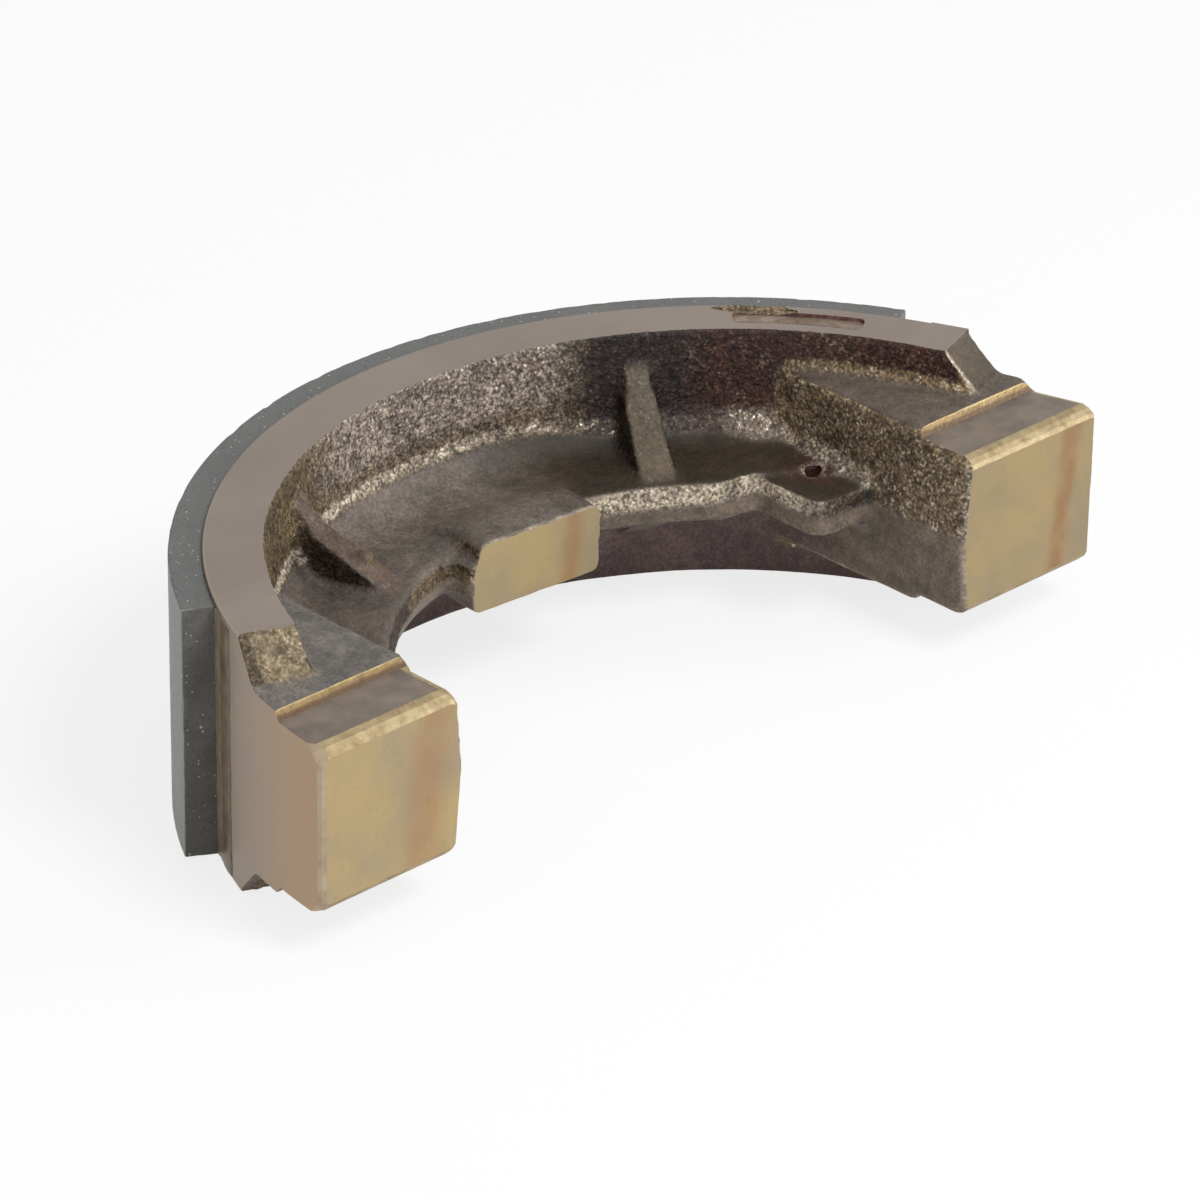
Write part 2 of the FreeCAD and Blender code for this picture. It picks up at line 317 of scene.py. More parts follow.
def zones(points, normals):
    """Grain, glint and tone of the cast skin at each point, and the zones that are pressed in."""
    x, y, z = points.T
    reach = np.hypot(x, y)
    angle = np.degrees(np.arctan2(y, x))
    rise = np.abs(z - MIDDLE)
    up = normals[:, 2] * np.sign(z - MIDDLE)
    inward = -(normals[:, 0] * x + normals[:, 1] * y) / reach
    upper = ramp(z, MIDDLE - 0.8, MIDDLE + 0.8)
    flat = ramp(up, 0.72, 0.93)

    # Web, with the rest pad, and a painted highlight line along the foot where it runs into the rim
    aside, behind = pad_place(points)
    near_pad = ramp(np.abs(aside), 24, 20) * ramp(behind, 24, 20)
    foot_up = 0.27 + 0.30 * ramp(angle, 74, 62)
    web = ramp(up - foot_up, 0.12, 0.24) * np.maximum(ramp(rise, 12.5, 11.0), near_pad)
    # Painted highlight along the rest pad's edge
    pad_edge = ramp(behind, 0.9, 0.4) * ramp(np.abs(aside), 22, 20)
    # Painted highlight: a pale, glinting line along the fillet at the web's foot
    foot = (ramp(np.abs(up - foot_up), 0.15, 0.08) * ramp(reach, 95, 98)
            * ramp(rise, 15, 14) * ramp(inward, 0.2, 0.4) * upper)
    foot *= 1 - 0.6 * ramp(angle, 58, 52)
    foot_highlight = foot * (0.25 + 0.5 * ramp(angle, 74, 86))
    from_hole = np.hypot(x - HOLE_X, y - HOLE_Y)
    by_hole = ramp(from_hole, 8.0, 5.5) * web
    # Painted glints round the spring's hole
    rim_of_hole = ramp(from_hole, HOLE_R + 1.6, HOLE_R + 0.8) * upper

    # Rim: its inner wall and the skin beside the pocket
    inner_wall = ramp(inward, 0.3, 0.6) * ramp(reach, 95, 98)
    # Painted sheen: the upper middle of the rim's inner wall is lighter and glints, where the lamps
    # are reflected
    silver_sheen = (ramp(angle, 115, 104) * ramp(angle, 64, 70) * inner_wall
              * (0.30 + 0.70 * ramp(rise, 15.5, 19)))
    by_pocket = (ramp(rise, 29.6, 30.0) * ramp(reach, 107, 109)
                 * ramp(np.abs(angle - PATCH_ANGLE), 9, 7))

    # End blocks: cast tops, slopes up to the rim, walls and coves; the web's inner edge
    tops = flat * ramp(rise, 19.5, 20.5) * ramp(rise, 23.6, 22.9)
    slope = ramp(rise, 22.2, 23.4) * ramp(up, 0.25, 0.45) * ramp(inward, 0.7, 0.5)
    left_slope = slope * ramp(x, -70, -90) * ramp(reach, 115.6, 114.4)
    right_slope = slope * ramp(x, 70, 90)
    # Painted highlights: pale lines along the right slope's inner edge and behind the block fronts
    slope_edge = right_slope * ramp(reach, 105.4, 104.8)
    front_edge = ramp(y, 9.4, 8.4) * ramp(np.abs(x), 100, 90)
    block_wall = (ramp(-normals[:, 0] * np.sign(x), 0.5, 0.7) * ramp(np.abs(x), 70, 76)
                  * ramp(np.abs(normals[:, 1]), 0.6, 0.4) * ramp(np.abs(x), 90, 84))
    # Painted highlight: a pale, glinting band along the web's inner edge
    web_edge = (ramp(reach, 89, 86) * upper * ramp(up, 0.9, 0.6) * ramp(y, 36, 44)
                * ramp(x, -5, 8) * (1 - block_wall))
    web_edge *= np.maximum(ramp(reach, 81.5, 78.5), ramp(x, 52, 58))
    # Painted glints along the ledge where the rim's wall meets the right block's top, and along the
    # cove at the block's root
    ledge = (ramp(up, 0.10, 0.25) * ramp(up, 0.85, 0.7) * ramp(rise, 27, 25.5) * ramp(x, 60, 72)
             * ramp(inward, 0.3, 0.45) * ramp(rise, 20, 21.5))
    cove = (ramp(up, 0.2, 0.4) * ramp(up, 0.92, 0.8) * ramp(rise, 14, 11) * ramp(x, 66, 70)
            * ramp(-normals[:, 0], 0.15, 0.35) * upper)
    recess = ramp(angle, 119.0, 120.2) * ramp(x, -79.5, -78.6) * (1 - inner_wall)

    left_crest, right_crest = np.zeros(len(x)), np.zeros(len(x))
    for middle, crest in zip(RIB_ANGLES, (right_crest, left_crest)):
        beside = np.abs(angle - middle) * np.radians(reach)
        crest += (ramp(beside, 4.2, 3.2) * ramp(up, 0.3, 0.6) * ramp(reach, 78, 82)
                  * ramp(reach, 105, 102))

    # Layers of tone, each with its share and glint, the share of painted glints, one over the other
    layers = (("silver_sheen", silver_sheen, 0.75),
              ("purple", ramp(angle, 70, 64) * (1 - block_wall), 0.10),
              ("red", inner_wall * ramp(angle, 54, 48), 0.16), ("moss", block_wall, 0.95),
              # painted shade in the recess beside the left rib
              ("deep_shade", recess * upper, 0.06), ("lower", 1 - upper, 0.0),
              ("under", (1 - upper) * ramp(reach, 92, 97), 0.0),
              ("web", web, 0.0), ("shade", web * ramp(angle, 84, 72) * (rise < 13), 0.0),
              # painted shade on the web beside the left rib
              ("red", 0.7 * by_hole, 0.1), ("deep_shade", 0.4 * web * ramp(angle, 106, 116), 0.0),
              ("left_top", tops * (x < 0), 0.0), ("right_top", tops * (x > 0), 0.0),
              ("left_slope", left_slope, 0.40), ("right_slope", right_slope, 0.0),
              # the pale layers are painted highlights
              ("pale", 0.9 * slope_edge, 0.9), ("pale", foot_highlight, 1.0),
              ("gold", 0.6 * by_pocket, 0.9),
              # gold on the ledge is a painted glint
              ("gold", 0.7 * ledge, 1.0), ("pale", 0.4 * cove, 0.9),
              ("left_crest", left_crest, 0.1), ("right_crest", right_crest, 0.1),
              ("pale", 0.95 * web_edge, 1.0), ("pale", 0.5 * front_edge * (1 - tops), 0.6),
              ("pale", 0.6 * pad_edge, 0.6), ("pale", 0.2 * rim_of_hole, 1.0))
    tone = np.tile(TONES["olive"], (len(x), 1))
    glint = np.full(len(x), 0.10)
    for name, share, shine in layers:
        share = np.clip(share, 0, 1)
        glint = glint * (1 - share) + shine * share
        tone = tone * (1 - share[:, None]) + np.array(TONES[name]) * share[:, None]
    # Painted glints at full strength on the foot line, the ledge, the cove and round the hole
    glint = np.maximum.reduce([glint, foot, ledge, cove, rim_of_hole])
    grain = (1 - 0.76 * web) * (1 - 0.65 * np.maximum(left_crest, right_crest))
    grain *= (1 - 0.85 * tops) * (1 - 0.93 * right_slope) * (1 - 0.5 * left_slope)
    grain *= 1 - 0.78 * (1 - upper)
    grain = np.maximum.reduce([grain, cove, rim_of_hole, by_pocket, 0.6 * slope_edge])
    return {"grain": grain, "glint": glint, "tone": tone, "flat": flat, "upper": upper,
            "left_slope": left_slope}


def roughen(blank):
    """Presses waves, grain and pits into the blank, and the step at the mould's parting line.
    Returns the places and normals that the skin had before."""
    mesh = blank.data
    points, normals = arrays(mesh)
    zone = zones(points, normals)
    # The skin is calmer towards the machined fronts and the tail's outer side
    calm = 1 - 0.8 * np.maximum(ramp(points[:, 1], 24, 13), ramp(points[:, 0], 108, 113))
    zone["grain"] *= 1 - 0.6 * ramp(points[:, 0], 110, 114)
    push = np.empty(len(points))
    for i, p in enumerate(points):
        place = Vector(p)
        wave = (noise.noise(place / LONG_WAVE) * LONG_HEIGHT
                + noise.noise(place / SHORT_WAVE + Vector((7, 3, 1))) * SHORT_HEIGHT)
        fine = (noise.noise(place / GRAIN)
                + 0.8 * noise.noise(place / FINE_GRAIN + Vector((3, 9, 5))))
        push[i] = wave * calm[i] + fine * GRAIN_HEIGHT * zone["grain"][i]
        if zone["left_slope"][i] > 0.05:
            blot = noise.noise(place / BLOT + Vector((1, 2, 8)))
            push[i] += zone["left_slope"][i] * blot * SLOPE_HEIGHT
        if zone["flat"][i] > 0.5:
            pit = noise.noise(place / BLOT + Vector((11, 4, 6)))
            push[i] -= max(0.0, pit - PIT_LEVEL) * PIT_DEPTH
    sideways = 1 - np.abs(normals[:, 2])
    push -= LOWER_DROP * (1 - zone["upper"]) * sideways * (0.4 + 0.6 * calm)
    moved = points + normals * push[:, None]
    moved[:, 0] = np.minimum(moved[:, 0], TAIL_X)
    mesh.vertices.foreach_set("co", (moved * MM).ravel())
    mesh.update()
    return points, normals


# Machining; the finishes are the casting's materials in the order of casting_finishes

CAST, TURNED, RING, MILLED, LAND, EASED, STEP, POCKET, WALL, BREAK = range(10)
DEEP = 12.0
OVER_TOP, UNDER_BASE = RIM_WIDTH + DEEP, -DEEP


def loft(outline, places, finish, ends=None):
    """Closed solid through one outline at several places; places map (a, b) to a point.
    The finish is one for all sides, or a list with one for each side."""
    sides = finish if isinstance(finish, list) else [finish] * len(outline)
    ends = finish if ends is None else ends
    bm = bmesh.new()
    rings = [[bm.verts.new(place(a, b)) for a, b in outline] for place in places]
    for one, two in zip(rings, rings[1:]):
        for face, side in zip(join_rings(bm, one, two), sides):
            face.material_index = side
    bm.faces.new(list(reversed(rings[0]))).material_index = ends
    bm.faces.new(rings[-1]).material_index = ends
    bmesh.ops.recalc_face_normals(bm, faces=bm.faces)
    return bm


def around(start, end, step):
    """Places at even steps about the drum's axis, for an outline in radius and height."""
    steps = max(2, round((end - start) / step))
    angles = [start + (end - start) * k / steps for k in range(steps + 1)]
    return [lambda r, z, angle=angle: polar(r, angle, z) for angle in angles]


def across(values, point):
    """Places at several values along a line; point(value, a, b) is the point in space."""
    return [lambda a, b, value=value: point(value, a, b) for value in values]


def sideways_at(x, y, z):
    return Vector((x, y, z))


def level_at(z, x, y):
    return Vector((x, y, z))


def square(half):
    return [(-half, -half), (half, -half), (half, half), (-half, half)]


def mirrored(outline):
    """The outline on the rim's lower side, with heights as the second numbers."""
    return [(a, RIM_WIDTH - z) for a, z in outline]


def front_cutters():
    """One long cutter for each end block, with the whole profile of its machined front."""
    lower = mirrored([*CHAMFER, (STEP_Y, LAND_TOP), (STEP_BACK_Y, BLOCK_TOP)])
    profile = [*CHAMFER, (STEP_Y, LAND_TOP), (STEP_BACK_Y, BLOCK_TOP),
               (STEP_BACK_Y, OVER_TOP), (-DEEP, OVER_TOP), (-DEEP, UNDER_BASE),
               (STEP_BACK_Y, UNDER_BASE), *reversed(lower)]
    finishes = [EASED, EASED, EASED, LAND, STEP, STEP, CAST, CAST, CAST, STEP, STEP, LAND,
                EASED, EASED, EASED, MILLED]
    nearest, strip, strips = 66, 3.7, 18
    for name, side in (("left_front", -1), ("right_front", 1)):
        columns = [side * (nearest + strip * k) for k in range(strips)]
        yield name, loft(profile, across(columns, sideways_at), finishes, CAST)


def ring_cutters():
    """Rings that face off the rim's upper and lower side."""
    inside, outside = 94, 128
    start, end, step = 5, 175, 1.7
    top = [(inside, RIM_WIDTH), (outside, RIM_WIDTH), (outside, OVER_TOP), (inside, OVER_TOP)]
    yield "ring_top", loft(top, around(start, end, step), RING)
    yield "ring_base", loft(mirrored(top), around(start, end, step), RING)


def tail_side():
    """Cutter along the tail's outer side, from the turned rim to the bend."""
    overlap, clearance, width = 4, 0.25, 8
    start, bend = polar(RIM_R, TAIL_START), Vector((*TAIL_BEND, 0))
    run = (bend - start).normalized()
    out = Vector((-run.y, run.x, 0))
    corners = [start - run * overlap, bend + out * clearance, bend + out * width,
               start + out * width - run * overlap]
    return loft([(p.x, p.y) for p in corners], across((-5, RIM_WIDTH + 5), level_at), CAST)


def turned_rim():
    """Ring that turns the rim's outside and breaks its two edges."""
    end, step = 190, 0.3
    sloped_r = RIM_R - RIM_BREAK - DEEP
    outline = [(RIM_R, RIM_BREAK), (RIM_R, RIM_WIDTH - RIM_BREAK), (sloped_r, OVER_TOP),
               (RIM_R + DEEP, OVER_TOP), (RIM_R + DEEP, UNDER_BASE), (sloped_r, UNDER_BASE)]
    return loft(outline, around(TAIL_START, end, step), TURNED)


def broken_edges():
    """The left block's outer edge, and the corners at its two ends."""
    past_x, past_y = -121, 5
    outline = [*EDGE, (past_x, EDGE[-1][1]), (past_x, past_y), (EDGE[0][0], past_y)]
    lowest, step, count = -5, 6, 13
    levels = [lowest + step * k for k in range(count)]
    yield "upright_edge", loft(outline, across(levels, level_at), BREAK)
    for name, side, back in (("upper_corner", 1, UPPER_CORNER_BACK),
                             ("lower_corner", -1, LOWER_CORNER_BACK)):
        corners = [(CORNER_BACK_X, back, LAND_TOP), (CORNER_SIDE_X, FACE_Y, FACE_TOP - CORNER_DROP),
                   (CORNER_FRONT_X, FACE_Y, FACE_TOP)]
        a, b, c = [Vector((x, y, MIDDLE + side * (z - MIDDLE))) for x, y, z in corners]
        out = (b - a).cross(c - a).normalized()
        out = out if out.x < 0 else -out
        u = (b - a).normalized()
        v = out.cross(u)
        places = [lambda p, q, e=e, a=a, u=u, v=v, out=out: a + u * p + v * q + out * e
                  for e in (0, DEEP)]
        yield name, loft(square(half=9), places, BREAK)


def tail_edge(y):
    """The tail's outer side, which leans out towards its tip."""
    lean = (TAIL_TIP[0] - TAIL_BEND[0]) / (TAIL_BEND[1] - TAIL_TIP[1])
    return min(TAIL_X, TAIL_TIP[0] - lean * (y - TAIL_TIP[1]))


def left_wall(y):
    """The left block's inner wall, the same all along."""
    return -BLOCK_WALL


def round_cutters():
    """Rounded edges above and below, on the tail's outer side and the left block's wall."""
    steps, past_x, past_z = 10, 3, 4
    curve = [polar(CORNER_ROUND, 90 - 90 / steps * k) for k in range(steps + 1)]
    outline = [(p.x - CORNER_ROUND, p.y - CORNER_ROUND) for p in curve]
    outline += [(past_x, -CORNER_ROUND), (past_x, past_z), (-CORNER_ROUND, past_z)]
    before_face, before_step = (5.0, 46.9), (STEP_Y - 0.2, LAND_TOP)
    for name, edge_at in (("tail_corner", tail_edge), ("block_corner", left_wall)):
        for side in (1, -1):
            places = [lambda a, b, y=y, top=top, edge=edge_at(y), side=side: Vector(
                (edge + a, y, MIDDLE + side * (top + b - MIDDLE)))
                      for y, top in (before_face, *CHAMFER, before_step)]
            yield f"{name}_{side}", loft(outline, places, EASED)


def pad_face():
    """Block that mills the rest pad's face."""
    def point(e, a, z):
        return PAD_CENTRE + PAD_ALONG * a + PAD_BACK * e + Vector((0, 0, MIDDLE + z))

    return loft(square(half=30), across((0, -DEEP), point), MILLED)


def spring_hole():
    """Drill through the web."""
    sides, low, high = 48, 20, 45
    circle = [polar(HOLE_R, 360 / sides * k) for k in range(sides)]
    return loft([(HOLE_X + p.x, HOLE_Y + p.y) for p in circle], across((low, high), level_at), WALL)


def rough_patch():
    """Spot beside the pocket where the tool missed the cast skin."""
    long, wide, thick = PATCH_HALVES
    bm = bmesh.new()
    bmesh.ops.create_icosphere(bm, subdivisions=5, radius=1)
    turn = Matrix.Rotation(math.radians(PATCH_ANGLE + 90), 3, "Z")
    for vert in bm.verts:
        lump = 1 + 0.45 * noise.noise(vert.co * 1.6 + Vector((4, 2, 9)))
        shaped = Vector((vert.co.x * long * lump, vert.co.y * wide * lump, vert.co.z * thick))
        shaped.z += 0.28 * noise.noise(vert.co * 5) + 0.2 * noise.noise(vert.co * 11)
        vert.co = turn @ shaped + polar(PATCH_R, PATCH_ANGLE, RIM_WIDTH + 0.1)
    return bm


def pocket():
    """Curved pocket with rounded ends; its walls lean out a little."""
    floor, shoulder, top = RIM_WIDTH - POCKET_DEPTH, RIM_WIDTH + 0.3, RIM_WIDTH + 2
    narrower, wider = 0.3, 0.2
    outline = [(POCKET_IN_R + narrower, floor), (POCKET_OUT_R - narrower, floor),
               (POCKET_OUT_R + wider, shoulder), (POCKET_OUT_R + wider, top),
               (POCKET_IN_R - wider, top), (POCKET_IN_R - wider, shoulder)]
    steps = 64
    length = POCKET_END - POCKET_START
    middle = (POCKET_IN_R + POCKET_OUT_R) / 2
    places = []
    for k in range(steps + 1):
        angle = POCKET_START + length * k / steps
        near_end = min(angle - POCKET_START, POCKET_END - angle) * math.radians(POCKET_OUT_R)
        inset = max(0.0, POCKET_ROUND - near_end)
        narrow = POCKET_ROUND - math.sqrt(max(0.0, POCKET_ROUND ** 2 - inset ** 2))
        share = 1 - narrow / (POCKET_OUT_R - middle)
        places.append(lambda r, z, angle=angle, share=share:
                      polar(middle + (r - middle) * share, angle, z))
    return loft(outline, places, [POCKET, WALL, WALL, WALL, WALL, WALL], WALL)


def cutters():
    """Everything that the machine tools take off the blank, in the order of the cuts."""
    yield from front_cutters()
    yield from ring_cutters()
    yield "tail_side", tail_side()
    yield "turned", turned_rim()
    yield from broken_edges()
    yield from round_cutters()
    yield "pad_face", pad_face()
    yield "hole", spring_hole()
    yield "rough_patch", rough_patch()
    yield "pocket", pocket()


def machined(blank, finishes):
    for mat in finishes:
        blank.data.materials.append(mat)
    for name, bm in cutters():
        tool = new_object(name, mesh_of(name, bm))
        for mat in finishes:
            tool.data.materials.append(mat)
        cut = blank.modifiers.new(name, "BOOLEAN")
        cut.operation = "DIFFERENCE"
        cut.solver = "MANIFOLD"
        cut.object = tool
        applied(blank)
        bpy.data.objects.remove(tool)
    return blank


def shade(mesh, skin):
    """Smooth cast skin, with the blank's own zones carried over to the nearest points."""
    cast = [face.material_index == CAST for face in mesh.polygons]
    mesh.polygons.foreach_set("use_smooth", cast)
    places, facing = skin
    tree = KDTree(len(places))
    for i, place in enumerate(places):
        tree.insert(place, i)
    tree.balance()
    points = arrays(mesh)[0]
    nearest = [tree.find(point)[1] for point in points]
    zone = zones(points, facing[nearest])
    for name in ("grain", "glint"):
        mesh.attributes.new(name, "FLOAT", "POINT").data.foreach_set("value", zone[name])
    colours = np.hstack([zone["tone"], np.ones((len(points), 1))])
    mesh.attributes.new("tone", "FLOAT_COLOR", "POINT").data.foreach_set("color", colours.ravel())


# Materials

class Graph:
    """Small helper that builds one node material."""

    def __init__(self, name):
        self.mat = bpy.data.materials.new(name)
        self.mat.use_nodes = True
        self.tree = self.mat.node_tree
        self.bsdf = self.tree.nodes["Principled BSDF"]
        self.coord = self.node("ShaderNodeTexCoord").outputs["Object"]

    def node(self, kind, *values, **settings):
        """New node: settings and sockets by name, then values for its first sockets."""
        made = self.tree.nodes.new(kind)
        for key, value in settings.items():
            if hasattr(made, key) and key not in made.inputs:
                setattr(made, key, value)
            else:
                self.put(made.inputs[key.replace("_", " ")], value)
        for index, value in enumerate(values):
            self.put(made.inputs[index], value)
        return made

    def put(self, socket, value):
        if isinstance(value, bpy.types.NodeSocket):
            self.tree.links.new(value, socket)
        else:
            socket.default_value = value

    def noise(self, scale, detail=2.0, rough=0.5, at=None):
        return self.node("ShaderNodeTexNoise", Vector=at or self.coord, Scale=scale,
                         Detail=detail, Roughness=rough).outputs["Fac"]

    def bent(self, scale, reach):
        """The coordinate, pushed about by noise."""
        push = self.node("ShaderNodeTexNoise", Vector=self.coord, Scale=scale).outputs["Color"]
        return self.node("ShaderNodeVectorMath", self.coord, self.shade(push, reach * MM),
                         operation="ADD").outputs[0]

    def stretched(self, scale):
        return self.node("ShaderNodeMapping", self.coord, Scale=scale).outputs["Vector"]

    def radius(self):
        """Distance from the drum's axis."""
        return self.node("ShaderNodeVectorMath", self.stretched((1, 1, 0)),
                         operation="LENGTH").outputs["Value"]

    def axis(self, name):
        return self.node("ShaderNodeSeparateXYZ", self.coord).outputs[name]

    def level(self, value, low, high, to_low=0.0, to_high=1.0):
        return self.node("ShaderNodeMapRange", value, low, high, to_low, to_high,
                         interpolation_type="SMOOTHSTEP").outputs["Result"]

    def math(self, kind, a, b=0.0):
        return self.node("ShaderNodeMath", a, b, operation=kind).outputs[0]

    def times(self, a, b):
        return self.math("MULTIPLY", a, b)

    def mix(self, factor, a, b):
        """Two colours, the second one over the first."""
        made = self.node("ShaderNodeMix", factor, data_type="RGBA")
        for index, colour in ((6, a), (7, b)):
            self.put(made.inputs[index], (*colour, 1) if isinstance(colour, tuple) else colour)
        return made.outputs[2]

    def mix_number(self, factor, a, b):
        made = self.node("ShaderNodeMix", factor)
        self.put(made.inputs[2], a)
        self.put(made.inputs[3], b)
        return made.outputs[0]

    def shade(self, colour, factor):
        """Colour times a number."""
        return self.node("ShaderNodeVectorMath", colour, operation="SCALE",
                         Scale=factor).outputs[0]

    def attribute(self, name, output="Fac"):
        return self.node("ShaderNodeAttribute", attribute_name=name).outputs[output]

    def bump(self, height, distance, strength=1.0):
        return self.node("ShaderNodeBump", Height=height, Distance=distance * MM,
                         Strength=strength).outputs["Normal"]

    def finish(self, **sockets):
        for key, value in sockets.items():
            if isinstance(value, tuple):
                value = (*value, 1)
            self.put(self.bsdf.inputs[key.replace("_", " ")], value)
        return self.mat


def cast_skin():
    g = Graph("cast_skin")
    grain = g.attribute("grain")
    glint = g.attribute("glint")
    cells = g.node("ShaderNodeTexVoronoi", Vector=g.bent(900, 0.8), Scale=1150.0)
    bumps = g.noise(1350, 4, 0.65)
    lumps = g.noise(480, 3, 0.6)
    height = g.math("ADD", g.times(cells.outputs["Distance"], -0.35),
                    g.math("ADD", g.times(bumps, 0.6), g.times(lumps, 0.6)))
    patches = g.level(g.noise(55, 4, 0.6), 0.32, 0.70, 0.80, 1.25)
    mottled = g.level(g.noise(300, 4, 0.65), 0.3, 0.7, 0.80, 1.20)
    speckled = g.level(bumps, 0.35, 0.65, 0.82, 1.18)
    relief = g.level(height, 0.22, 0.66, 0.28, 1.75)
    colour = g.attribute("tone", "Color")
    for factor in (patches, mottled, speckled, g.mix_number(grain, 1.0, relief)):
        colour = g.shade(colour, factor)
    rust = g.times(g.level(g.noise(75, 5, 0.7), 0.60, 0.75), 0.4)
    colour = g.mix(rust, colour, (0.115, 0.052, 0.028))
    # Painted glints: pale metallic crests, as many as the glint attribute gives
    scattered = g.level(g.noise(620, 2, 0.5), 0.40, 0.58)
    drifts = g.level(g.noise(150, 3, 0.6), 0.38, 0.62, 0.12, 1.0)
    crests = g.times(g.level(height, 0.46, 0.60), scattered)
    crests = g.times(crests, g.times(drifts, glint))
    colour = g.mix(crests, colour, (0.74, 0.66, 0.55))
    worn = g.mix_number(grain, 0.62, g.level(bumps, 0.3, 0.7, 0.40, 0.55))
    rough = g.mix_number(crests, worn, 0.28)
    normal = g.bump(height, 0.50, g.level(grain, 0, 1, 0.08, 1.0))
    return g.finish(Base_Color=colour, Roughness=rough, IOR=1.36, Normal=normal,
                    Metallic=g.times(crests, 0.85))


def stained(g, cloud, dark, light):
    """Clouded iron with yellowish stains."""
    colour = g.mix(g.level(cloud, 0.3, 0.7), dark, light)
    stain = g.level(g.noise(60, 5, 0.7), 0.58, 0.8)
    return g.mix(g.times(stain, 0.35), colour, (0.36, 0.25, 0.13))


def lathe_finish(g, cloud, colour, along, smooth_to_dull, metallic):
    """Fine lines of the lathe tool, one beside the other in one direction."""
    fine = g.node("ShaderNodeTexNoise", noise_dimensions="1D", W=g.times(along, 5200),
                  Scale=1.0, Detail=2.0).outputs["Fac"]
    colour = g.mix(g.level(fine, 0.35, 0.65, 0.0, 0.12), colour, (0.22, 0.185, 0.15))
    return g.finish(Base_Color=colour, Roughness=g.level(cloud, 0.3, 0.7, *smooth_to_dull),
                    Metallic=metallic, Normal=g.bump(fine, 0.012, 0.5))


def turned_iron():
    """The rim's outside, with painted shading: warmer and lighter near the left block's front."""
    g = Graph("turned_iron")
    cloud = g.noise(28, 4, 0.6)
    colour = stained(g, cloud, (0.315, 0.250, 0.190), (0.375, 0.305, 0.235))
    # Painted shading across the curve of the left block's outer side, warmer and lighter towards
    # its front
    front = g.level(g.axis("Y"), 42 * MM, 12 * MM, 0, 0.75)
    front = g.times(front, g.level(g.axis("X"), -50 * MM, -90 * MM))
    colour = g.mix(front, colour, (0.46, 0.300, 0.175))
    return lathe_finish(g, cloud, colour, g.axis("Z"), (0.42, 0.54), 0.7)


def faced_iron():
    """The rim's upper and lower side."""
    g = Graph("faced_iron")
    cloud = g.noise(28, 4, 0.6)
    colour = stained(g, cloud, (0.204, 0.166, 0.138), (0.250, 0.208, 0.176))
    return lathe_finish(g, cloud, colour, g.radius(), (0.56, 0.66), 0.3)


def milled_iron():
    """Front faces and rest pad, with an upright band of rust on each of them."""
    g = Graph("milled_iron")
    cloud = g.level(g.noise(48, 4, 0.6), 0.3, 0.7)
    colour = g.mix(cloud, (0.35, 0.275, 0.175), (0.44, 0.325, 0.155))
    olive = g.level(g.noise(110, 4, 0.6), 0.52, 0.72, 0, 0.4)
    colour = g.mix(olive, colour, (0.34, 0.27, 0.125))
    wander = g.times(g.math("SUBTRACT", g.noise(60, 3, 0.6), 0.5), 6 * MM)
    lean = g.times(g.math("SUBTRACT", g.axis("Z"), MIDDLE * MM), -0.137)
    x = g.math("ADD", g.math("ADD", g.axis("X"), wander), lean)
    for centre, half, share in ((-87.0, 8.5, 0.50), (11.5, 4.2, 0.6), (110.4, 4.8, 0.8)):
        away = g.math("ABSOLUTE", g.math("SUBTRACT", x, centre * MM))
        band = g.level(away, half * MM, half * MM * 0.1, 0, share)
        band = g.times(band, g.level(g.noise(130, 3, 0.6), 0.3, 0.6, 0.6, 1))
        colour = g.mix(band, colour, (0.34, 0.165, 0.065))
    # Painted shade: darker towards +X, against the side lamp's stronger light on the right face
    colour = g.shade(colour, g.level(g.axis("X"), -70 * MM, 80 * MM, 1.0, 0.80))
    fine = g.noise(1.0, 2, 0.5, at=g.stretched((2600, 2600, 140)))
    colour = g.mix(g.level(fine, 0.3, 0.7, 0.0, 0.12), colour, (0.26, 0.21, 0.13))
    grit = g.level(g.noise(700, 3, 0.6), 0.6, 0.72, 0, 0.25)
    colour = g.mix(grit, colour, (0.20, 0.15, 0.09))
    return g.finish(Base_Color=colour, Roughness=g.level(cloud, 0, 1, 0.42, 0.54),
                    Metallic=0.6, Normal=g.bump(fine, 0.012, 0.5))


def land_iron():
    g = Graph("land_iron")
    cloud = g.noise(130, 5, 0.65)
    colour = g.mix(g.level(cloud, 0.32, 0.68), (0.125, 0.098, 0.078), (0.210, 0.168, 0.128))
    olive = g.level(g.noise(90, 4, 0.6), 0.55, 0.75, 0, 0.5)
    colour = g.mix(olive, colour, (0.185, 0.145, 0.075))
    fine = g.noise(1.0, 2, 0.5, at=g.stretched((140, 2600, 2600)))
    return g.finish(Base_Color=colour, Roughness=g.level(cloud, 0.3, 0.7, 0.48, 0.60),
                    Metallic=0.35, Normal=g.bump(fine, 0.02, 0.5))


def chamfer_iron():
    g = Graph("chamfer_iron")
    cloud = g.noise(260, 4, 0.65)
    colour = g.mix(g.level(cloud, 0.35, 0.65), (0.27, 0.20, 0.10), (0.36, 0.28, 0.15))
    spots = g.noise(420, 4, 0.6)
    colour = g.mix(g.level(spots, 0.52, 0.70, 0, 0.5), colour, (0.17, 0.100, 0.036))
    colour = g.mix(g.level(spots, 0.46, 0.30, 0, 0.4), colour, (0.50, 0.40, 0.24))
    return g.finish(Base_Color=colour, Roughness=0.5, Metallic=0.45,
                    Normal=g.bump(g.noise(900, 3, 0.6), 0.1, 0.6))


